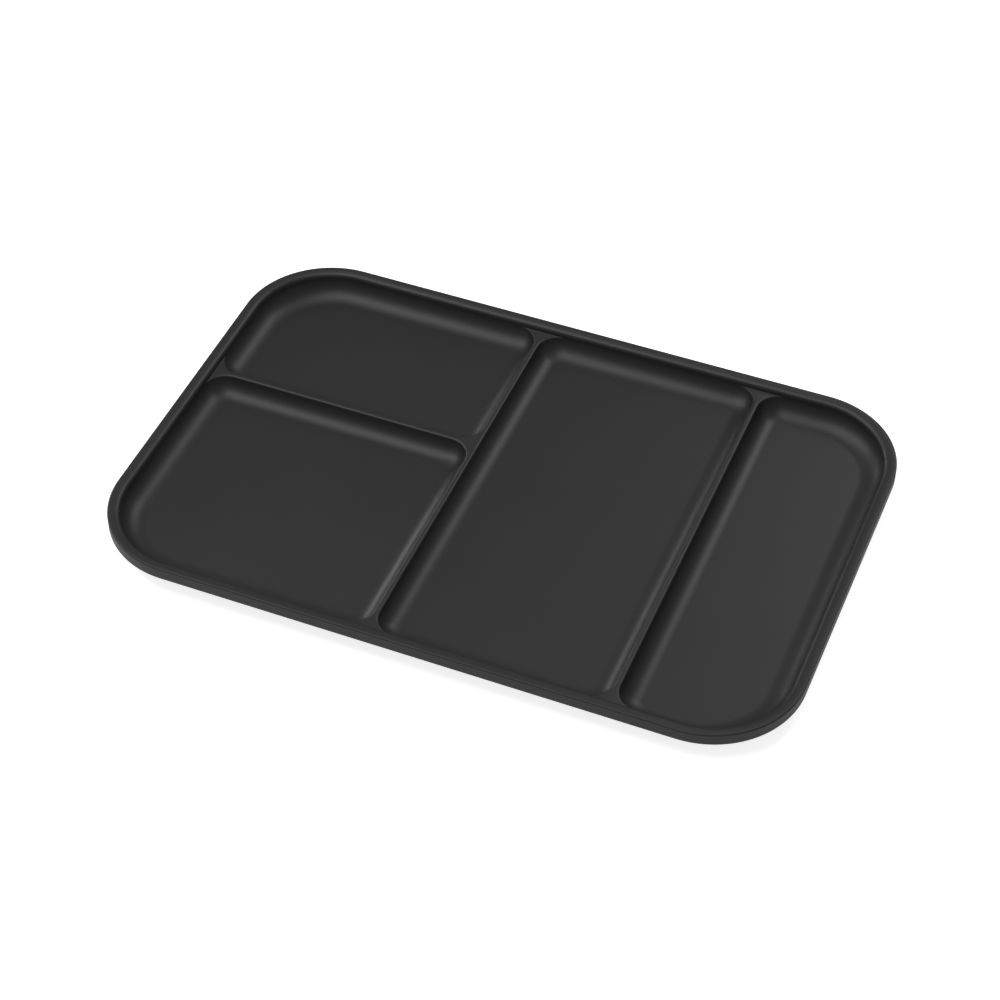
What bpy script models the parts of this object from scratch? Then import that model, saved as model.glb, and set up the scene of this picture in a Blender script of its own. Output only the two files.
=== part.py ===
"""A low organizer tray for a car's centre console: a shell with four open pockets, on six anti-slip feet.

The shell is one thin wall. Its upper face is four bowls with wide floor fillets between narrow dividers. Its
under face follows at the wall's thickness, so the dividers are hollow from below. The same loft makes both.
Round the outside, the slightly crowned rim ends in a lip that is turned down.
Metres, +Z up. The origin is on the surface that the feet stand on, under the middle of the tray.
"""

import math

import bmesh
import bpy

# Outline, rim, and the lip turned down round it
TRAY_LENGTH = 0.3018
TRAY_WIDTH = 0.2018
TRAY_CORNER_RADIUS = 0.04
RIM_WIDTH = 0.0048
RIM_INNER_ROUNDING = 0.0025
RIM_CROWN_RADIUS = 0.011
RIM_OUTER_ROUNDING = 0.0006
LIP_DEPTH = 0.0059
LIP_THICKNESS = 0.0014
LIP_EDGE_ROUNDING = 0.0009

# Pockets and dividers
POCKET_DEPTH = 0.0097
DIVIDER_DROP = 0.0027
DIVIDER_CREST_WIDTH = 0.0023
DIVIDER_CREST_ROUNDING = 0.0011
LEFT_DIVIDER_LENGTH_SHARE = -0.0687
RIGHT_DIVIDER_LENGTH_SHARE = 0.2716
CROSS_DIVIDER_WIDTH_SHARE = 0.0892
POCKET_CORNER_RADIUS = 0.01
FLOOR_CORNER_RADIUS = 0.0032
OUTER_FILLET_RADIUS = 0.0103
DIVIDER_FILLET_RADIUS = 0.009
WALL_DRAFT_DEGREES = 12.0

# Wall, and the hollows under the dividers
WALL_THICKNESS = 0.0018
HOLLOW_CEILING_WIDTH = 0.001

# Feet, and the foam tape that holds each in its recess
FOOT_DIAMETER = 0.016
FOOT_THICKNESS = 0.002
FOOT_EDGE_ROUNDING = 0.0006
FOOT_GROOVE_DIAMETER = 0.0095
FOOT_GROOVE_WIDTH = 0.0012
FOOT_GROOVE_DEPTH = 0.0005
FOOT_WALL_DISTANCE = 0.032
TAPE_DIAMETER = 0.014
TAPE_THICKNESS = 0.0005
RECESS_DEPTH = 0.0008
RECESS_SIDE_CLEARANCE = 0.0003
SEAT_GAP = 0.00015

# Fineness of the round stretches
TRAY_CORNER_STEPS = 12
POCKET_CORNER_STEPS = 7
FILLET_STEPS = 6
ROUNDING_STEPS = 3
TURNED_STEPS = 32
CUT_OVERRUN = 0.001
MERGE_DISTANCE = 0.000001
SHARP_DEGREES = 35

DRAFT = math.radians(WALL_DRAFT_DEGREES)
QUARTER_TURN = math.pi / 2

# Heights, from the feet up
RECESS_CEILING_Z = FOOT_THICKNESS + SEAT_GAP + TAPE_THICKNESS + SEAT_GAP
UNDERSIDE_Z = RECESS_CEILING_Z - RECESS_DEPTH
FLOOR_Z = UNDERSIDE_Z + WALL_THICKNESS
RIM_Z = FLOOR_Z + POCKET_DEPTH
DIVIDER_Z = RIM_Z - DIVIDER_DROP

# The basin: the common outline of the four pockets, at DIVIDER_Z
BASIN_INSET = RIM_WIDTH + DIVIDER_DROP * math.tan(DRAFT)
BASIN_X = TRAY_LENGTH / 2 - BASIN_INSET
BASIN_Y = TRAY_WIDTH / 2 - BASIN_INSET
BASIN_CORNER_RADIUS = TRAY_CORNER_RADIUS - BASIN_INSET

# Each pocket's four sides at DIVIDER_Z, and which of them are dividers
LEFT_DIVIDER_X = TRAY_LENGTH * LEFT_DIVIDER_LENGTH_SHARE
RIGHT_DIVIDER_X = TRAY_LENGTH * RIGHT_DIVIDER_LENGTH_SHARE
CROSS_DIVIDER_Y = TRAY_WIDTH * CROSS_DIVIDER_WIDTH_SHARE
HALF_CREST = DIVIDER_CREST_WIDTH / 2
SIDES = ("right", "back", "left", "front")
POCKETS = {
    "back_left": (LEFT_DIVIDER_X - HALF_CREST, BASIN_Y, -BASIN_X, CROSS_DIVIDER_Y + HALF_CREST),
    "front_left": (LEFT_DIVIDER_X - HALF_CREST, CROSS_DIVIDER_Y - HALF_CREST, -BASIN_X, -BASIN_Y),
    "centre": (RIGHT_DIVIDER_X - HALF_CREST, BASIN_Y, LEFT_DIVIDER_X + HALF_CREST, -BASIN_Y),
    "right": (BASIN_X, BASIN_Y, RIGHT_DIVIDER_X + HALF_CREST, -BASIN_Y),
}
DIVIDER_SIDES = {
    "back_left": ("right", "front"),
    "front_left": ("right", "back"),
    "centre": ("right", "left"),
    "right": ("left",),
}

# Corners in the order of the rings, each between a side and the next, with its direction in x and y
CORNERS = {"back_right": (1, 1), "back_left": (-1, 1), "front_left": (-1, -1), "front_right": (1, -1)}

# A divider ends on the basin's outline, between one corner's last point and another corner's first
DIVIDER_ENDS = (
    ("centre", "back_right", "right", "back_left"),
    ("back_left", "back_right", "centre", "back_left"),
    ("front_left", "back_left", "back_left", "front_left"),
    ("centre", "front_left", "front_left", "front_right"),
    ("right", "front_left", "centre", "front_right"),
)

# Where the feet stand
FOOT_X = BASIN_X - FOOT_WALL_DISTANCE
FOOT_Y = BASIN_Y - FOOT_WALL_DISTANCE
CENTRE_POCKET_X = (LEFT_DIVIDER_X + RIGHT_DIVIDER_X) / 2
RIGHT_POCKET_X = (RIGHT_DIVIDER_X + HALF_CREST + BASIN_X) / 2
FEET = {
    "back_left": (-FOOT_X, FOOT_Y),
    "front_left": (-FOOT_X, -FOOT_Y),
    "back_centre": (CENTRE_POCKET_X, FOOT_Y),
    "front_centre": (CENTRE_POCKET_X, -FOOT_Y),
    "back_right": (RIGHT_POCKET_X, FOOT_Y),
    "front_right": (RIGHT_POCKET_X, -FOOT_Y),
}


def floor_outset(fillet_radius):
    """Outset from a pocket's side, measured at DIVIDER_Z, at which its flat floor begins."""
    return (FLOOR_Z + fillet_radius - DIVIDER_Z) * math.tan(DRAFT) - fillet_radius / math.cos(DRAFT)


def wall_outset(z, fillet_radius, thickness):
    """Outset of a wall at a height: straight at the draft, then round its fillet.

    The upper face is the one with a thickness of 0.
    """
    radius = fillet_radius + thickness
    below = FLOOR_Z + fillet_radius - z
    if below < radius * math.sin(DRAFT):
        return (z - DIVIDER_Z) * math.tan(DRAFT) + thickness / math.cos(DRAFT)
    return floor_outset(fillet_radius) + math.sqrt(max(radius * radius - below * below, 0))


def fillet_heights(start_z, end_z, fillet_radius, thickness):
    """Heights from just under start_z to end_z, evenly spaced round a floor fillet."""
    radius = fillet_radius + thickness
    centre_z = FLOOR_Z + fillet_radius
    end = math.asin(min((centre_z - end_z) / radius, 1))
    bend_z = centre_z - radius * math.sin(DRAFT)
    if start_z > bend_z:
        start = DRAFT
        yield bend_z
    else:
        start = math.asin((centre_z - start_z) / radius)
    for step in range(1, FILLET_STEPS + 1):
        yield centre_z - radius * math.sin(start + (end - start) * step / FILLET_STEPS)


def hollow_height():
    """Height at which the under faces on the two sides of a divider leave a ceiling of the stated width."""
    radius = DIVIDER_FILLET_RADIUS + WALL_THICKNESS
    reach = HALF_CREST - HOLLOW_CEILING_WIDTH / 2 - floor_outset(DIVIDER_FILLET_RADIUS)
    return FLOOR_Z + DIVIDER_FILLET_RADIUS - math.sqrt(radius * radius - reach * reach)


HOLLOW_Z = hollow_height()

# How fast a pocket's corners by a divider tighten from their radius at DIVIDER_Z to their radius at the floor
CORNER_TAPER = (FLOOR_CORNER_RADIUS - POCKET_CORNER_RADIUS) / floor_outset(DIVIDER_FILLET_RADIUS)


def edge_rounding(radius):
    """(outset, drop) pairs from the sharp edge, round an edge from its flat top to its drafted wall."""
    reach = radius * (1 - math.sin(DRAFT)) / math.cos(DRAFT)
    for step in range(ROUNDING_STEPS + 1):
        angle = (QUARTER_TURN - DRAFT) * step / ROUNDING_STEPS
        yield reach - radius * math.sin(angle), radius * (1 - math.cos(angle))


def pocket_ring(pocket, z, outer_outset, divider_outset):
    """One level section of a pocket, corner by corner, as (point, on the basin's outline).

    Each point lies out from the pocket's sides by the outset of the outer wall or of a divider. Round a
    corner that leads from one to the other, it goes over smoothly.
    """
    edges = dict(zip(SIDES, POCKETS[pocket]))
    ring = {}
    for index, (corner, (sign_x, sign_y)) in enumerate(CORNERS.items()):
        starts_on_divider = SIDES[index] in DIVIDER_SIDES[pocket]
        ends_on_divider = SIDES[(index + 1) % len(SIDES)] in DIVIDER_SIDES[pocket]
        if starts_on_divider or ends_on_divider:
            steps, corner_radius, taper = POCKET_CORNER_STEPS, POCKET_CORNER_RADIUS, CORNER_TAPER
        else:
            steps, corner_radius, taper = TRAY_CORNER_STEPS, BASIN_CORNER_RADIUS, 1
        corner_x = edges["right"] if sign_x > 0 else edges["left"]
        corner_y = edges["back"] if sign_y > 0 else edges["front"]
        ring[corner] = []
        for step in range(steps + 1):
            turn = step / steps
            ease = turn * turn * (3 - 2 * turn)
            share = starts_on_divider * (1 - ease) + ends_on_divider * ease
            outset = outer_outset + share * (divider_outset - outer_outset)
            radius = corner_radius + taper * outset
            angle = QUARTER_TURN * (index + turn)
            point = (corner_x + sign_x * (outset - radius) + radius * math.cos(angle),
                     corner_y + sign_y * (outset - radius) + radius * math.sin(angle), z)
            ring[corner].append((point, share == 0))
    return ring


def add_bowls(bm, levels):
    """Lofts the four pockets down through (z, outer outset, divider outset) levels and joins their mouths."""
    mouths = {}
    crest_edges = []
    for pocket in POCKETS:
        before = None
        for level in levels:
            ring = pocket_ring(pocket, *level)
            verts = {corner: [bm.verts.new(point) for point, flag in ring[corner]] for corner in CORNERS}
            loop = [vert for corner in CORNERS for vert in verts[corner]]
            pairs = [(loop[index - 1], vert) for index, vert in enumerate(loop)]
            if before is None:
                mouths[pocket] = verts
                on_outline = [flag for corner in CORNERS for point, flag in ring[corner]]
                for index, pair in enumerate(pairs):
                    edge = bm.edges.new(pair)
                    if not (on_outline[index - 1] and on_outline[index]):
                        crest_edges.append(edge)
            else:
                for (upper_a, upper_b), (lower_a, lower_b) in zip(before, pairs):
                    bm.faces.new((upper_a, upper_b, lower_b, lower_a))
            before = pairs
        bm.faces.new(loop)
    for pocket, last_corner, other, first_corner in DIVIDER_ENDS:
        ends = mouths[pocket][last_corner][-1], mouths[other][first_corner][0]
        crest_edges.append(bm.edges.new(ends))
    bmesh.ops.edgeloop_fill(bm, edges=crest_edges)


def upper_levels():
    """The pockets' sections, from the crests of the dividers round their edges and down to the floor."""
    z = DIVIDER_Z
    for outset, drop in edge_rounding(DIVIDER_CREST_ROUNDING):
        z = DIVIDER_Z - drop
        yield z, wall_outset(z, OUTER_FILLET_RADIUS, 0), outset
    for z in fillet_heights(z, FLOOR_Z, DIVIDER_FILLET_RADIUS, 0):
        yield z, wall_outset(z, OUTER_FILLET_RADIUS, 0), wall_outset(z, DIVIDER_FILLET_RADIUS, 0)


def under_levels():
    """The same from below, from the ceilings of the hollows down to the underside."""
    for z in [HOLLOW_Z, *fillet_heights(HOLLOW_Z, UNDERSIDE_Z, DIVIDER_FILLET_RADIUS, WALL_THICKNESS)]:
        outer_outset = wall_outset(z, OUTER_FILLET_RADIUS, WALL_THICKNESS)
        yield z, outer_outset, wall_outset(z, DIVIDER_FILLET_RADIUS, WALL_THICKNESS)


def rim_crown():
    """(outset, z) from the basin's wall, round the rim's inner edge and up its slight crown."""
    crown_outset = BASIN_INSET - RIM_OUTER_ROUNDING
    radius_step = RIM_CROWN_RADIUS - RIM_INNER_ROUNDING
    foot_z = DIVIDER_DROP - RIM_CROWN_RADIUS + RIM_INNER_ROUNDING * math.sin(DRAFT)
    room = crown_outset - RIM_INNER_ROUNDING * math.cos(DRAFT) - foot_z * math.tan(DRAFT)
    tilt = math.asin(room * math.cos(DRAFT) / radius_step) - DRAFT
    centre_outset = crown_outset - radius_step * math.sin(tilt)
    centre_z = RIM_Z - RIM_CROWN_RADIUS + radius_step * math.cos(tilt)
    for step in range(ROUNDING_STEPS + 1):
        angle = QUARTER_TURN - DRAFT + (tilt + DRAFT - QUARTER_TURN) * step / ROUNDING_STEPS
        outset = centre_outset - RIM_INNER_ROUNDING * math.sin(angle)
        yield outset, centre_z + RIM_INNER_ROUNDING * math.cos(angle)
    for step in range(1, ROUNDING_STEPS + 1):
        angle = tilt * (1 - step / ROUNDING_STEPS)
        outset = crown_outset - RIM_CROWN_RADIUS * math.sin(angle)
        yield outset, RIM_Z - RIM_CROWN_RADIUS * (1 - math.cos(angle))


def rim_section():
    """(outset, z) up the basin's wall, over the rim, round the lip and its edge, and down the outer wall."""
    yield from rim_crown()
    for step in range(ROUNDING_STEPS + 1):
        angle = QUARTER_TURN * step / ROUNDING_STEPS
        outset = BASIN_INSET - RIM_OUTER_ROUNDING * (1 - math.sin(angle))
        yield outset, RIM_Z - RIM_OUTER_ROUNDING * (1 - math.cos(angle))
    lip_z = RIM_Z - LIP_DEPTH
    for step in range(ROUNDING_STEPS + 1):
        angle = QUARTER_TURN * step / ROUNDING_STEPS
        outset = BASIN_INSET - LIP_EDGE_ROUNDING * (1 - math.cos(angle))
        yield outset, lip_z + LIP_EDGE_ROUNDING * (1 - math.sin(angle))
    under_z = RIM_Z - WALL_THICKNESS
    yield BASIN_INSET - LIP_THICKNESS, lip_z
    yield BASIN_INSET - LIP_THICKNESS, under_z
    yield wall_outset(under_z, OUTER_FILLET_RADIUS, WALL_THICKNESS), under_z
    for z in list(fillet_heights(under_z, HOLLOW_Z, OUTER_FILLET_RADIUS, WALL_THICKNESS))[:-1]:
        yield wall_outset(z, OUTER_FILLET_RADIUS, WALL_THICKNESS), z


def place_round_basin(point, outset, z):
    """Where a point goes that is moved square to the basin's outline, to the outset and height."""
    straight_x = BASIN_X - BASIN_CORNER_RADIUS
    straight_y = BASIN_Y - BASIN_CORNER_RADIUS
    centre_x = max(-straight_x, min(straight_x, point.x))
    centre_y = max(-straight_y, min(straight_y, point.y))
    away_x = point.x - centre_x
    away_y = point.y - centre_y
    stretch = (BASIN_CORNER_RADIUS + outset) / math.hypot(away_x, away_y)
    return centre_x + away_x * stretch, centre_y + away_y * stretch, z


def add_material(name, colour, roughness, metallic):
    material = bpy.data.materials.new(name)
    material.use_nodes = True
    shader = material.node_tree.nodes["Principled BSDF"]
    shader.inputs["Base Color"].default_value = (*colour, 1)
    shader.inputs["Roughness"].default_value = roughness
    shader.inputs["Metallic"].default_value = metallic
    return material


def add_object(name, bm, material, place):
    """Ends a bmesh as a named object, smooth up to the sharp-edge angle."""
    bmesh.ops.remove_doubles(bm, verts=bm.verts, dist=MERGE_DISTANCE)
    bmesh.ops.recalc_face_normals(bm, faces=bm.faces)
    mesh = bpy.data.meshes.new(name)
    bm.to_mesh(mesh)
    bm.free()
    mesh.shade_smooth()
    mesh.set_sharp_from_angle(angle=math.radians(SHARP_DEGREES))
    mesh.materials.append(material)
    made = bpy.data.objects.new(name, mesh)
    made.location = place
    bpy.context.scene.collection.objects.link(made)
    return made


def turned(section):
    """A solid of revolution about Z, from a (radius, z) section that begins and ends on the axis."""
    bm = bmesh.new()
    verts = [bm.verts.new((radius, 0, z)) for radius, z in section]
    edges = [bm.edges.new(pair) for pair in zip(verts, verts[1:])]
    bmesh.ops.spin(bm, geom=verts + edges, cent=(0, 0, 0), axis=(0, 0, 1), angle=math.tau, steps=TURNED_STEPS,
                   use_merge=True)
    return bm


def cylinder_section(radius, height):
    return (0, 0), (radius, 0), (radius, height), (0, height)


def foot_section():
    """A flat pad with a rounded lower edge and one ring groove in the face that it stands on."""
    groove_inner = (FOOT_GROOVE_DIAMETER - FOOT_GROOVE_WIDTH) / 2
    groove_outer = (FOOT_GROOVE_DIAMETER + FOOT_GROOVE_WIDTH) / 2
    radius = FOOT_DIAMETER / 2
    yield 0, 0
    yield groove_inner, 0
    yield groove_inner, FOOT_GROOVE_DEPTH
    yield groove_outer, FOOT_GROOVE_DEPTH
    yield groove_outer, 0
    for step in range(ROUNDING_STEPS + 1):
        angle = QUARTER_TURN * step / ROUNDING_STEPS
        yield radius - FOOT_EDGE_ROUNDING * (1 - math.sin(angle)), FOOT_EDGE_ROUNDING * (1 - math.cos(angle))
    yield radius, FOOT_THICKNESS
    yield 0, FOOT_THICKNESS


def add_tray_body():
    """The shell: the pockets' upper face, the rim swept round it, and the under face joined on below."""
    bm = bmesh.new()
    add_bowls(bm, list(upper_levels()))
    edges = [edge for edge in bm.edges if edge.is_boundary]
    for outset, z in rim_section():
        grown = bmesh.ops.extrude_edge_only(bm, edges=edges)["geom"]
        verts = {item for item in grown if isinstance(item, bmesh.types.BMVert)}
        edges = [item for item in grown if isinstance(item, bmesh.types.BMEdge)]
        for vert in verts:
            vert.co = place_round_basin(vert.co, outset, z)
    add_bowls(bm, list(under_levels()))
    bmesh.ops.bridge_loops(bm, edges=[edge for edge in bm.edges if edge.is_boundary])
    material = add_material("black moulded plastic, fine matt grain", (0.019, 0.019, 0.021), 0.48, 0)
    return add_object("tray_body", bm, material, (0, 0, 0))


def cut_foot_recesses(body):
    """One round recess in the underside for each foot and its tape."""
    section = cylinder_section(FOOT_DIAMETER / 2 + RECESS_SIDE_CLEARANCE, RECESS_DEPTH + CUT_OVERRUN)
    start_z = UNDERSIDE_Z - CUT_OVERRUN
    for name, (x, y) in FEET.items():
        cutter = add_object(f"recess_{name}", turned(section), body.active_material, (x, y, start_z))
        cutter.hide_render = True
        cutter.display_type = "WIRE"
        cutter.parent = body
        cut = body.modifiers.new(f"recess_{name}", "BOOLEAN")
        cut.operation = "DIFFERENCE"
        cut.solver = "EXACT"
        cut.object = cutter


def add_feet(body):
    """The anti-slip pads, each with the disc of foam tape between it and the ceiling of its recess."""
    for name, (x, y) in FEET.items():
        rubber = add_material(f"black rubber, foot_{name}", (0.012, 0.012, 0.012), 0.75, 0)
        foam = add_material(f"grey foam tape, tape_{name}", (0.11, 0.11, 0.115), 0.9, 0)
        foot = add_object(f"foot_{name}", turned(foot_section()), rubber, (x, y, 0))
        tape_section = cylinder_section(TAPE_DIAMETER / 2, TAPE_THICKNESS)
        tape = add_object(f"tape_{name}", turned(tape_section), foam, (x, y, FOOT_THICKNESS + SEAT_GAP))
        foot.parent = body
        tape.parent = body


for old in list(bpy.data.objects):
    bpy.data.objects.remove(old)
tray_body = add_tray_body()
cut_foot_recesses(tray_body)
add_feet(tray_body)
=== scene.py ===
"""The console organizer tray, dressed for its picture: fine meshes and finishes on the CAD's frame.

Metres, +Z up. The origin is on the surface that the pads stand on, under the middle of the tray.
"""

import math

import bmesh
import bpy
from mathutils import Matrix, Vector


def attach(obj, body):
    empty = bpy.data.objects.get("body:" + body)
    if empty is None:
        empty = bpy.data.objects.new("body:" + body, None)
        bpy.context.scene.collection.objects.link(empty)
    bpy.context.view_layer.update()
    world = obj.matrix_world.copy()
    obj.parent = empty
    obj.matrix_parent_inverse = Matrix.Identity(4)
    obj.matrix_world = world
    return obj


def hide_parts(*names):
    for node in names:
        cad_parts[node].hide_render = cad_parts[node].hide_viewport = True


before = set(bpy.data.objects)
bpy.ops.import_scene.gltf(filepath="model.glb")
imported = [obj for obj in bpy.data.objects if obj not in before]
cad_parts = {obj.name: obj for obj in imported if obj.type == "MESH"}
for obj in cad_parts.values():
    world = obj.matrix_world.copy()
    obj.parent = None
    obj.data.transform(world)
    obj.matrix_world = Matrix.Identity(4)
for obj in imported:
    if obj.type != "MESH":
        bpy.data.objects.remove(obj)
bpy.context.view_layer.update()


# The shell
# The tray itself is one moulding of black ABS with a single wall. Four shallow bowls stand side by
# side in it, the wall folds over in narrow crests between them, and its slightly crowned rim turns
# down outside in a lip. Its face has the fine matt grain of a spark-eroded mould.

MM = 0.001
TRAY_LENGTH = 301.8 * MM
TRAY_WIDTH = 201.8 * MM
TRAY_CORNER_RADIUS = 40 * MM
RIM_WIDTH = 4.8 * MM
RIM_INNER_ROUNDING = 2.5 * MM
RIM_CROWN_RADIUS = 11 * MM
RIM_OUTER_ROUNDING = 0.6 * MM
LIP_DEPTH = 5.9 * MM
LIP_THICKNESS = 1.4 * MM
LIP_EDGE_ROUNDING = 0.9 * MM
LIP_ROOT_ROUNDING = 0.4 * MM

POCKET_DEPTH = 9.7 * MM
DIVIDER_DROP = 2.7 * MM
CREST_WIDTH = 2.3 * MM
CREST_ROUNDING = 1.1 * MM
LEFT_DIVIDER_X = -0.0687 * TRAY_LENGTH
RIGHT_DIVIDER_X = 0.2716 * TRAY_LENGTH
CROSS_DIVIDER_Y = 0.0892 * TRAY_WIDTH
POCKET_CORNER_RADIUS = 10 * MM
FLOOR_CORNER_RADIUS = 3.2 * MM
OUTER_FILLET_RADIUS = 10.3 * MM
DIVIDER_FILLET_RADIUS = 9 * MM
DRAFT = math.radians(12)

WALL = 1.8 * MM
HOLLOW_CEILING_WIDTH = 1 * MM

PAD_THICKNESS = 2 * MM
TAPE_THICKNESS = 0.5 * MM
SEAT_GAP = 0.15 * MM
RECESS_DEPTH = 0.8 * MM

TRAY_CORNER_STEPS = 40
POCKET_CORNER_STEPS = 24
FILLET_STEPS = 20
ROUNDING_STEPS = 8
SUPPORT_LOOP = 0.25 * MM
QUARTER_TURN = math.pi / 2

UNDERSIDE_Z = PAD_THICKNESS + 2 * SEAT_GAP + TAPE_THICKNESS - RECESS_DEPTH
FLOOR_Z = UNDERSIDE_Z + WALL
RIM_Z = FLOOR_Z + POCKET_DEPTH
CREST_Z = RIM_Z - DIVIDER_DROP

# The basin is the common outline of the four pockets at the height of the crests
BASIN_INSET = RIM_WIDTH + DIVIDER_DROP * math.tan(DRAFT)
BASIN_X = TRAY_LENGTH / 2 - BASIN_INSET
BASIN_Y = TRAY_WIDTH / 2 - BASIN_INSET
BASIN_CORNER_RADIUS = TRAY_CORNER_RADIUS - BASIN_INSET

# Each pocket's right, back, left and front sides there, and which of the four are dividers
HALF_CREST = CREST_WIDTH / 2
POCKETS = {
    "back_left": (
        (LEFT_DIVIDER_X - HALF_CREST, BASIN_Y, -BASIN_X, CROSS_DIVIDER_Y + HALF_CREST),
        (1, 0, 0, 1),
    ),
    "front_left": (
        (LEFT_DIVIDER_X - HALF_CREST, CROSS_DIVIDER_Y - HALF_CREST, -BASIN_X, -BASIN_Y),
        (1, 1, 0, 0),
    ),
    "centre": (
        (RIGHT_DIVIDER_X - HALF_CREST, BASIN_Y, LEFT_DIVIDER_X + HALF_CREST, -BASIN_Y),
        (1, 0, 1, 0),
    ),
    "right": (
        (BASIN_X, BASIN_Y, RIGHT_DIVIDER_X + HALF_CREST, -BASIN_Y),
        (0, 0, 1, 0),
    ),
}

# The corner of one pocket and the corner of its neighbour between which each end of a divider
# meets the basin
DIVIDER_ENDS = (
    ("centre", 0, "right", 1),
    ("back_left", 0, "centre", 1),
    ("front_left", 1, "back_left", 2),
    ("centre", 2, "front_left", 3),
    ("right", 2, "centre", 3),
)


def floor_outset(fillet_radius):
    """How far inside its edge at the crests a pocket's flat floor begins, as a negative outset."""
    fall = FLOOR_Z + fillet_radius - CREST_Z
    return fall * math.tan(DRAFT) - fillet_radius / math.cos(DRAFT)


def wall_outset(z, fillet_radius, thickness):
    """Outset of a wall's face at a height: along the draft, then round the fillet to the floor."""
    radius = fillet_radius + thickness
    below = FLOOR_Z + fillet_radius - z
    if below < radius * math.sin(DRAFT):
        return (z - CREST_Z) * math.tan(DRAFT) + thickness / math.cos(DRAFT)
    return floor_outset(fillet_radius) + math.sqrt(max(radius * radius - below * below, 0))


def fillet_heights(start_z, end_z, fillet_radius, thickness):
    """Heights from just under start_z down to end_z, evenly spaced round a fillet."""
    radius = fillet_radius + thickness
    centre_z = FLOOR_Z + fillet_radius
    end = math.asin(min((centre_z - end_z) / radius, 1))
    bend_z = centre_z - radius * math.sin(DRAFT)
    if start_z > bend_z:
        start = DRAFT
        yield bend_z
    else:
        start = math.asin((centre_z - start_z) / radius)
    for step in range(1, FILLET_STEPS + 1):
        yield centre_z - radius * math.sin(start + (end - start) * step / FILLET_STEPS)


def edge_rounding(radius):
    """(outset, drop) from the sharp edge, round an edge from its flat top to its drafted wall."""
    reach = radius * (1 - math.sin(DRAFT)) / math.cos(DRAFT)
    for step in range(ROUNDING_STEPS + 1):
        angle = (QUARTER_TURN - DRAFT) * step / ROUNDING_STEPS
        yield reach - radius * math.sin(angle), radius * (1 - math.cos(angle))


def pocket_ring(pocket, z, outer_outset, divider_outset):
    """One level section of a pocket, corner by corner, as (point, corner, on the basin's outline).

    Its wide corners follow the tray's. Its small ones tighten on the way down and ease from one
    wall's outset to the other's, so the end of a divider flares.
    """
    sides, dividers = POCKETS[pocket]
    taper = (FLOOR_CORNER_RADIUS - POCKET_CORNER_RADIUS) / floor_outset(DIVIDER_FILLET_RADIUS)
    for corner, (sign_x, sign_y) in enumerate(((1, 1), (-1, 1), (-1, -1), (1, -1))):
        first, last = dividers[corner], dividers[(corner + 1) % 4]
        small = first or last
        steps = POCKET_CORNER_STEPS if small else TRAY_CORNER_STEPS
        corner_x = sides[0] if sign_x > 0 else sides[2]
        corner_y = sides[1] if sign_y > 0 else sides[3]
        for step in range(steps + 1):
            turn = step / steps
            ease = turn * turn * (3 - 2 * turn)
            share = first * (1 - ease) + last * ease
            outset = outer_outset + share * (divider_outset - outer_outset)
            if small:
                radius = POCKET_CORNER_RADIUS + taper * outset
            else:
                radius = BASIN_CORNER_RADIUS + outset
            angle = QUARTER_TURN * (corner + turn)
            x = corner_x + sign_x * (outset - radius) + radius * math.cos(angle)
            y = corner_y + sign_y * (outset - radius) + radius * math.sin(angle)
            yield (x, y, z), corner, share == 0


def draw_edges(bm, edges, index_layer, placed):
    """Extrudes a loop of edges once and puts each new point where placed(point, index) says."""
    grown = bmesh.ops.extrude_edge_only(bm, edges=edges)["geom"]
    for item in grown:
        if isinstance(item, bmesh.types.BMVert):
            item.co = placed(item.co, item[index_layer])
    return [item for item in grown if isinstance(item, bmesh.types.BMEdge)]


def press_bowls(bm, levels):
    """Draws the four bowls down from their mouths and leaves a crest between them."""
    index_layer = bm.verts.layers.int.get("ring") or bm.verts.layers.int.new("ring")
    ends = {}
    crest_edges = []
    for pocket in POCKETS:
        rings = [list(pocket_ring(pocket, *level)) for level in levels]
        mouth = []
        for index, (point, corner, on_outline) in enumerate(rings[0]):
            vert = bm.verts.new(point)
            vert[index_layer] = index
            mouth.append(vert)
            ends.setdefault((pocket, corner), [vert, vert])[1] = vert
        edges = []
        for index, vert in enumerate(mouth):
            edges.append(bm.edges.new((mouth[index - 1], vert)))
            if not (rings[0][index - 1][2] and rings[0][index][2]):
                crest_edges.append(edges[-1])
        for ring in rings[1:]:
            edges = draw_edges(bm, edges, index_layer, lambda point, index: ring[index][0])
        floor = bmesh.ops.edgeloop_fill(bm, edges=edges)["faces"]
        bmesh.ops.inset_region(bm, faces=floor, thickness=SUPPORT_LOOP)
    for pocket, corner, neighbour, next_corner in DIVIDER_ENDS:
        pair = (ends[pocket, corner][1], ends[neighbour, next_corner][0])
        crest_edges.append(bm.edges.new(pair))
    bmesh.ops.edgeloop_fill(bm, edges=crest_edges)
    return index_layer


def upper_levels():
    """(z, outer walls' outset, dividers' outset) down the bowls, from the crests to the floor."""
    z = CREST_Z
    for outset, drop in edge_rounding(CREST_ROUNDING):
        z = CREST_Z - drop
        yield z, wall_outset(z, OUTER_FILLET_RADIUS, 0), outset
    for z in fillet_heights(z, FLOOR_Z, DIVIDER_FILLET_RADIUS, 0):
        yield z, wall_outset(z, OUTER_FILLET_RADIUS, 0), wall_outset(z, DIVIDER_FILLET_RADIUS, 0)


def hollow_top():
    """Height at which a divider's two under faces leave the ceiling of the hollow between them."""
    radius = DIVIDER_FILLET_RADIUS + WALL
    reach = HALF_CREST - HOLLOW_CEILING_WIDTH / 2 - floor_outset(DIVIDER_FILLET_RADIUS)
    return FLOOR_Z + DIVIDER_FILLET_RADIUS - math.sqrt(radius * radius - reach * reach)


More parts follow.
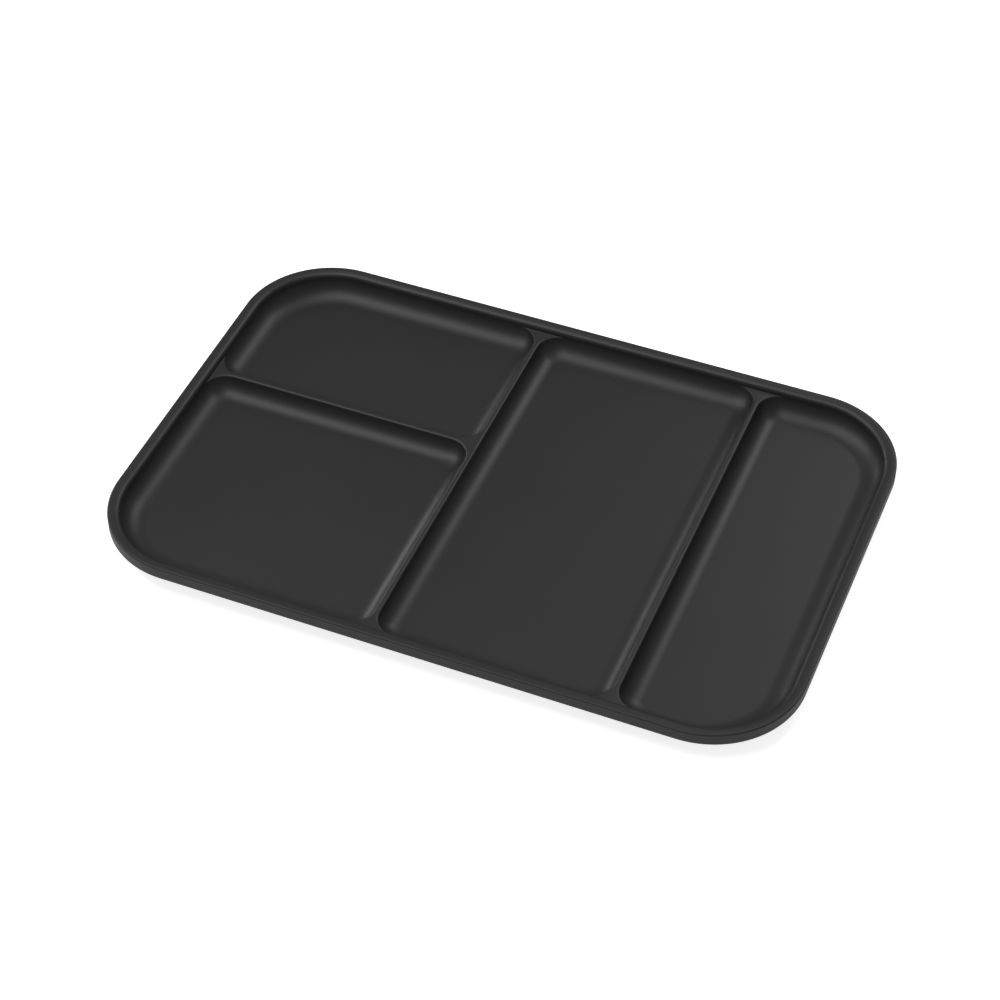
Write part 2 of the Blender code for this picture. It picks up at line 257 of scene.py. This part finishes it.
def under_levels():
    """The same down the under face, from the hollows' ceilings to the underside."""
    top = hollow_top()
    for z in [top, *fillet_heights(top, UNDERSIDE_Z, DIVIDER_FILLET_RADIUS, WALL)]:
        outer_outset = wall_outset(z, OUTER_FILLET_RADIUS, WALL)
        yield z, outer_outset, wall_outset(z, DIVIDER_FILLET_RADIUS, WALL)


def rim_crown():
    """(outset, z) from the basin's wall, round the rim's inner edge and up its slight crown."""
    crown_outset = BASIN_INSET - RIM_OUTER_ROUNDING
    radius_step = RIM_CROWN_RADIUS - RIM_INNER_ROUNDING
    foot_z = DIVIDER_DROP - RIM_CROWN_RADIUS + RIM_INNER_ROUNDING * math.sin(DRAFT)
    room = crown_outset - RIM_INNER_ROUNDING * math.cos(DRAFT) - foot_z * math.tan(DRAFT)
    tilt = math.asin(room * math.cos(DRAFT) / radius_step) - DRAFT
    centre_outset = crown_outset - radius_step * math.sin(tilt)
    centre_z = RIM_Z - RIM_CROWN_RADIUS + radius_step * math.cos(tilt)
    for step in range(ROUNDING_STEPS + 1):
        angle = QUARTER_TURN - DRAFT + (tilt + DRAFT - QUARTER_TURN) * step / ROUNDING_STEPS
        outset = centre_outset - RIM_INNER_ROUNDING * math.sin(angle)
        yield outset, centre_z + RIM_INNER_ROUNDING * math.cos(angle)
    for step in range(1, ROUNDING_STEPS + 1):
        angle = tilt * (1 - step / ROUNDING_STEPS)
        outset = crown_outset - RIM_CROWN_RADIUS * math.sin(angle)
        yield outset, RIM_Z - RIM_CROWN_RADIUS * (1 - math.cos(angle))


def rim_section():
    """(outset, z) up the basin's wall, over the rim, down the lip and back under the rim."""
    yield from rim_crown()
    for step in range(ROUNDING_STEPS + 1):
        angle = QUARTER_TURN * step / ROUNDING_STEPS
        outset = BASIN_INSET - RIM_OUTER_ROUNDING * (1 - math.sin(angle))
        yield outset, RIM_Z - RIM_OUTER_ROUNDING * (1 - math.cos(angle))
    yield BASIN_INSET, RIM_Z - RIM_OUTER_ROUNDING - SUPPORT_LOOP
    lip_z = RIM_Z - LIP_DEPTH
    yield BASIN_INSET, lip_z + LIP_EDGE_ROUNDING + SUPPORT_LOOP
    for step in range(ROUNDING_STEPS + 1):
        angle = QUARTER_TURN * step / ROUNDING_STEPS
        outset = BASIN_INSET - LIP_EDGE_ROUNDING * (1 - math.cos(angle))
        yield outset, lip_z + LIP_EDGE_ROUNDING * (1 - math.sin(angle))
    under_z = RIM_Z - WALL
    lip_outset = BASIN_INSET - LIP_THICKNESS
    yield lip_outset, lip_z
    for step in range(ROUNDING_STEPS + 1):
        angle = QUARTER_TURN * step / ROUNDING_STEPS
        outset = lip_outset - LIP_ROOT_ROUNDING * (1 - math.cos(angle))
        yield outset, under_z - LIP_ROOT_ROUNDING * (1 - math.sin(angle))
    yield wall_outset(under_z, OUTER_FILLET_RADIUS, WALL), under_z
    for z in list(fillet_heights(under_z, hollow_top(), OUTER_FILLET_RADIUS, WALL))[:-1]:
        yield wall_outset(z, OUTER_FILLET_RADIUS, WALL), z


def place_round_basin(point, outset, z):
    """Where a point goes that moves square to the basin's outline, to the outset and height."""
    straight_x = BASIN_X - BASIN_CORNER_RADIUS
    straight_y = BASIN_Y - BASIN_CORNER_RADIUS
    centre = Vector((
        max(-straight_x, min(straight_x, point.x)),
        max(-straight_y, min(straight_y, point.y)),
        0,
    ))
    away = Vector((point.x, point.y, 0)) - centre
    placed = centre + away.normalized() * (BASIN_CORNER_RADIUS + outset)
    return placed.x, placed.y, z


MERGE_DISTANCE = 0.001 * MM
SHARP_ANGLE = math.radians(35)


def add_piece(name, bm, material):
    """Ends a bmesh as a piece of the tray, smooth up to the sharp-edge angle."""
    bmesh.ops.remove_doubles(bm, verts=bm.verts, dist=MERGE_DISTANCE)
    bmesh.ops.recalc_face_normals(bm, faces=bm.faces)
    mesh = bpy.data.meshes.new(name)
    bm.to_mesh(mesh)
    bm.free()
    mesh.shade_smooth()
    mesh.set_sharp_from_angle(angle=SHARP_ANGLE)
    mesh.materials.append(material)
    piece = bpy.data.objects.new(name, mesh)
    bpy.context.scene.collection.objects.link(piece)
    return piece


def colour(hex_code):
    """The linear colour of an sRGB hex code."""
    parts = [int(hex_code[start:start + 2], 16) / 255 for start in (0, 2, 4)]
    linear = [part / 12.92 if part <= 0.04045 else ((part + 0.055) / 1.055) ** 2.4 for part in parts]
    return (*linear, 1)


def add_node(tree, kind, settings=None, links=None):
    """Adds a node, sets its properties or input values, and links outputs to its inputs."""
    node = tree.nodes.new(kind)
    for name, value in (settings or {}).items():
        if isinstance(name, str) and hasattr(node, name):
            setattr(node, name, value)
        else:
            node.inputs[name].default_value = value
    for name, output in (links or {}).items():
        tree.links.new(output, node.inputs[name])
    return node


# A Mix node has sockets of the same names for each kind of data, so its colours go by number
COLOUR_A, COLOUR_B, MIXED_COLOUR = 6, 7, 2

# Black ABS, moulded against spark-eroded steel: a dead-flat black with a faint sheen on its
# roundings, and a shade that drifts a little with the flow of the melt. The real grain is about
# 0.1 mm, and it is drawn at 0.45 mm so that it shows.
GRAIN = 0.45 * MM
GRAIN_HEIGHT = 0.02 * MM
FLOW_MARKS = 35 * MM
abs_finish = bpy.data.materials.new("black moulded ABS, fine spark-eroded grain")
abs_finish.use_nodes = True
tree = abs_finish.node_tree
shader = tree.nodes["Principled BSDF"]
shader.inputs["IOR"].default_value = 1.53
place = add_node(tree, "ShaderNodeTexCoord").outputs["Object"]
grain = add_node(tree, "ShaderNodeTexNoise",
                 {"Scale": 1 / GRAIN, "Detail": 2, "Roughness": 0.55}, {"Vector": place})
flow = add_node(tree, "ShaderNodeTexNoise",
                {"Scale": 1 / FLOW_MARKS, "Detail": 3, "Roughness": 0.5}, {"Vector": place})
shade = add_node(tree, "ShaderNodeMix",
                 {"data_type": "RGBA", COLOUR_A: colour("18181A"), COLOUR_B: colour("1E1E20")},
                 {"Factor": flow.outputs["Fac"]})
tree.links.new(shade.outputs[MIXED_COLOUR], shader.inputs["Base Color"])
sheen = add_node(tree, "ShaderNodeMapRange",
                 {"To Min": 0.42, "To Max": 0.5}, {"Value": grain.outputs["Fac"]})
tree.links.new(sheen.outputs["Result"], shader.inputs["Roughness"])
relief = add_node(tree, "ShaderNodeBump",
                  {"Strength": 0.25, "Distance": GRAIN_HEIGHT}, {"Height": grain.outputs["Fac"]})
tree.links.new(relief.outputs["Normal"], shader.inputs["Normal"])

# The upper face is drawn down from the bowls' mouths, and the rim outwards from the basin's
# outline. The under face is drawn in the same way and bridged to the rim's last ring.
bm = bmesh.new()
index_layer = press_bowls(bm, list(upper_levels()))
edges = [edge for edge in bm.edges if edge.is_boundary]
for outset, z in rim_section():
    edges = draw_edges(bm, edges, index_layer,
                       lambda point, index: place_round_basin(point, outset, z))
press_bowls(bm, list(under_levels()))
bmesh.ops.bridge_loops(bm, edges=[edge for edge in bm.edges if edge.is_boundary])
shell = add_piece("moulded_shell", bm, abs_finish)

# Six shallow round recesses in the underside take the pads
RECESS_RADIUS = 8.3 * MM
RECESS_STEPS = 96
PAD_WALL_DISTANCE = 32 * MM
pad_x = BASIN_X - PAD_WALL_DISTANCE
pad_y = BASIN_Y - PAD_WALL_DISTANCE
centre_x = (LEFT_DIVIDER_X + RIGHT_DIVIDER_X) / 2
right_x = (RIGHT_DIVIDER_X + HALF_CREST + BASIN_X) / 2
PAD_PLACES = {
    "back_left": (-pad_x, pad_y),
    "front_left": (-pad_x, -pad_y),
    "back_centre": (centre_x, pad_y),
    "front_centre": (centre_x, -pad_y),
    "back_right": (right_x, pad_y),
    "front_right": (right_x, -pad_y),
}
bm = bmesh.new()
for x, y in PAD_PLACES.values():
    drill = bmesh.ops.create_cone(bm, cap_ends=True, segments=RECESS_STEPS, radius1=RECESS_RADIUS,
                                  radius2=RECESS_RADIUS, depth=2 * RECESS_DEPTH)
    bmesh.ops.translate(bm, verts=drill["verts"], vec=(x, y, UNDERSIDE_Z))
drills = add_piece("recess_drills", bm, abs_finish)
cut = shell.modifiers.new("recesses", "BOOLEAN")
cut.operation = "DIFFERENCE"
cut.solver = "EXACT"
cut.object = drills
bpy.context.view_layer.update()
drilled = shell.evaluated_get(bpy.context.evaluated_depsgraph_get())
drilled_mesh = bpy.data.meshes.new_from_object(drilled)
shell.modifiers.remove(cut)
shell.data = drilled_mesh
bpy.data.objects.remove(drills)

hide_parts("tray_body")
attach(shell, "root")


# The anti-slip pads
# Six discs of black rubber, compression-moulded with a rounded lower edge and one ring groove in
# the face that they stand on. Each sits in its recess on a disc of foam tape.

PAD_RADIUS = 8 * MM
PAD_EDGE_ROUNDING = 0.6 * MM
GROOVE_RADIUS = 4.75 * MM
GROOVE_WIDTH = 1.2 * MM
GROOVE_DEPTH = 0.5 * MM
PAD_STEPS = 96

# EPDM rubber, cured in a mould: a matt black with a faint grey bloom in patches and fine pores
BLOOM = 2.5 * MM
PORES = 0.3 * MM
PORE_DEPTH = 0.02 * MM
rubber = bpy.data.materials.new("black EPDM rubber, compression moulded")
rubber.use_nodes = True
tree = rubber.node_tree
shader = tree.nodes["Principled BSDF"]
shader.inputs["IOR"].default_value = 1.52
place = add_node(tree, "ShaderNodeTexCoord").outputs["Object"]
bloom = add_node(tree, "ShaderNodeTexNoise",
                 {"Scale": 1 / BLOOM, "Detail": 4, "Roughness": 0.6}, {"Vector": place})
shade = add_node(tree, "ShaderNodeMix",
                 {"data_type": "RGBA", COLOUR_A: colour("17171A"), COLOUR_B: colour("212122")},
                 {"Factor": bloom.outputs["Fac"]})
tree.links.new(shade.outputs[MIXED_COLOUR], shader.inputs["Base Color"])
matt = add_node(tree, "ShaderNodeMapRange",
                {"To Min": 0.68, "To Max": 0.82}, {"Value": bloom.outputs["Fac"]})
tree.links.new(matt.outputs["Result"], shader.inputs["Roughness"])
pores = add_node(tree, "ShaderNodeTexNoise",
                 {"Scale": 1 / PORES, "Detail": 2, "Roughness": 0.5}, {"Vector": place})
relief = add_node(tree, "ShaderNodeBump",
                  {"Strength": 0.3, "Distance": PORE_DEPTH}, {"Height": pores.outputs["Fac"]})
tree.links.new(relief.outputs["Normal"], shader.inputs["Normal"])

# A pad's section, from its axis along the foot and up its edge to the face that takes the tape
groove_start = GROOVE_RADIUS - GROOVE_WIDTH / 2
groove_end = GROOVE_RADIUS + GROOVE_WIDTH / 2
pad_section = [
    (0, 0),
    (groove_start, 0),
    (groove_start, GROOVE_DEPTH),
    (groove_end, GROOVE_DEPTH),
    (groove_end, 0),
]
for step in range(ROUNDING_STEPS + 1):
    angle = QUARTER_TURN * step / ROUNDING_STEPS
    pad_section.append((PAD_RADIUS - PAD_EDGE_ROUNDING * (1 - math.sin(angle)),
                        PAD_EDGE_ROUNDING * (1 - math.cos(angle))))
pad_section += [(PAD_RADIUS, PAD_THICKNESS), (0, PAD_THICKNESS)]

for spot, (x, y) in PAD_PLACES.items():
    bm = bmesh.new()
    verts = [bm.verts.new((radius, 0, z)) for radius, z in pad_section]
    edges = [bm.edges.new(pair) for pair in zip(verts, verts[1:])]
    bmesh.ops.spin(bm, geom=verts + edges, cent=(0, 0, 0), axis=(0, 0, 1), angle=math.tau,
                   steps=PAD_STEPS, use_merge=True)
    bmesh.ops.remove_doubles(bm, verts=bm.verts, dist=MERGE_DISTANCE)
    bmesh.ops.translate(bm, verts=bm.verts, vec=(x, y, 0))
    pad = add_piece(f"pad_{spot}", bm, rubber)
    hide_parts(f"foot_{spot}")
    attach(pad, "root")


# The foam tape
# Six die-cut discs of grey closed-cell foam with adhesive on both faces, one between each pad and
# its recess. The CAD discs are right as they are and only take their finish here.

# Closed-cell foam: dull grey, no sheen, pitted by cells about 0.25 mm across, with painted shade in
# the pits
CELLS = 0.25 * MM
CELL_DEPTH = 0.05 * MM
foam = bpy.data.materials.new("grey closed-cell foam tape, die cut")
foam.use_nodes = True
tree = foam.node_tree
shader = tree.nodes["Principled BSDF"]
shader.inputs["Roughness"].default_value = 0.9
shader.inputs["IOR"].default_value = 1.5
place = add_node(tree, "ShaderNodeTexCoord").outputs["Object"]
cells = add_node(tree, "ShaderNodeTexVoronoi", {"Scale": 1 / CELLS}, {"Vector": place})
# The cells' floors are painted darker than their rims, painted shade in the pits that follows the
# same field as the bump
shade = add_node(tree, "ShaderNodeMix",
                 {"data_type": "RGBA", COLOUR_A: colour("4A4A4C"), COLOUR_B: colour("66666A")},
                 {"Factor": cells.outputs["Distance"]})
tree.links.new(shade.outputs[MIXED_COLOUR], shader.inputs["Base Color"])
relief = add_node(tree, "ShaderNodeBump",
                  {"Strength": 0.5, "Distance": CELL_DEPTH}, {"Height": cells.outputs["Distance"]})
tree.links.new(relief.outputs["Normal"], shader.inputs["Normal"])
for spot in PAD_PLACES:
    tape = bpy.data.objects[f"tape_{spot}"]
    for material_slot in tape.material_slots:
        material_slot.material = foam


# The studio
# A wide white table, a camera at the photograph's viewing angle, and soft lamps overhead, behind
# and at the left, one of them low. The camera's side has none, so that the walls that face it fall
# dark and the fillets catch a soft line of light.

CAMERA_PLACE = (0.278, -0.68829, RIM_Z + 0.74)
CAMERA_AIM = (-0.26522214, 0.65045812, -0.71173131)
CAMERA_LENS = 89.856
CAMERA_SENSOR_WIDTH = 36
NEAREST_SEEN = 0.01
camera = bpy.data.objects.new("camera", bpy.data.cameras.new("camera"))
bpy.context.scene.collection.objects.link(camera)
camera.data.lens = CAMERA_LENS
camera.data.sensor_width = CAMERA_SENSOR_WIDTH
camera.data.clip_start = NEAREST_SEEN
camera.location = CAMERA_PLACE
camera.rotation_euler = Vector(CAMERA_AIM).to_track_quat("-Z", "Y").to_euler()
bpy.context.scene.camera = camera

TABLE_REACH = 6
bm = bmesh.new()
bmesh.ops.create_grid(bm, x_segments=1, y_segments=1, size=TABLE_REACH)
table_mesh = bpy.data.meshes.new("table")
bm.to_mesh(table_mesh)
bm.free()
table = bpy.data.objects.new("table", table_mesh)
bpy.context.scene.collection.objects.link(table)

# Matt white laminate. What the camera and clear things see of it is lifted to white, reflections
# see part of that lift, and the shadow stays.
TABLE_LIFT = 0.8
REFLECTED_SHARE = 0.35
laminate = bpy.data.materials.new("matt white laminate")
laminate.use_nodes = True
tree = laminate.node_tree
shader = tree.nodes["Principled BSDF"]
shader.inputs["Base Color"].default_value = colour("E6E6E6")
shader.inputs["Roughness"].default_value = 0.8
rays = add_node(tree, "ShaderNodeLightPath").outputs
seen = add_node(tree, "ShaderNodeMath", {"operation": "MAXIMUM"},
                {0: rays["Is Camera Ray"], 1: rays["Is Transmission Ray"]})
mirrored = add_node(tree, "ShaderNodeMath", {"operation": "MULTIPLY", 1: REFLECTED_SHARE},
                    {0: rays["Is Glossy Ray"]})
lifted = add_node(tree, "ShaderNodeMath", {"operation": "MAXIMUM"},
                  {0: seen.outputs[0], 1: mirrored.outputs[0]})
lift = add_node(tree, "ShaderNodeMath", {"operation": "MULTIPLY", 1: TABLE_LIFT},
                {0: lifted.outputs[0]})
shader.inputs["Emission Color"].default_value = colour("FFFFFF")
tree.links.new(lift.outputs[0], shader.inputs["Emission Strength"])
table_mesh.materials.append(laminate)

# A white backdrop for the camera and for clear things. Reflections keep the room's own level,
# which is dim.
ROOM_LEVEL = 0.25
world = bpy.data.worlds.new("studio")
bpy.context.scene.world = world
world.use_nodes = True
tree = world.node_tree
background = tree.nodes["Background"]
background.inputs["Color"].default_value = colour("FFFFFF")
rays = add_node(tree, "ShaderNodeLightPath").outputs
seen = add_node(tree, "ShaderNodeMath", {"operation": "MAXIMUM"},
                {0: rays["Is Camera Ray"], 1: rays["Is Transmission Ray"]})
level = add_node(tree, "ShaderNodeMapRange", {"To Min": ROOM_LEVEL, "To Max": 1},
                 {"Value": seen.outputs[0]})
tree.links.new(level.outputs["Result"], background.inputs["Strength"])

# Each softbox by its place and width in metres and its power in watts. All face the tray's middle.
SOFTBOXES = {
    "overhead_softbox": ((-0.31, -0.11, 1.15), 0.9, 5),
    "back_softbox": ((0.3, 0.92, 0.87), 0.5, 3),
    "left_softbox": ((-0.97, 0, 0.87), 0.5, 3),
    "low_left_softbox": ((-1.09, 0.68, 0.16), 0.3, 2),
}
for name, (lamp_place, width, power) in SOFTBOXES.items():
    lamp = bpy.data.lights.new(name, "AREA")
    lamp.shape = "DISK"
    lamp.size = width
    lamp.energy = power
    softbox = bpy.data.objects.new(name, lamp)
    softbox.location = lamp_place
    softbox.rotation_euler = (-Vector(lamp_place)).to_track_quat("-Z", "Y").to_euler()
    bpy.context.scene.collection.objects.link(softbox)
bpy.context.scene.view_settings.view_transform = "Standard"
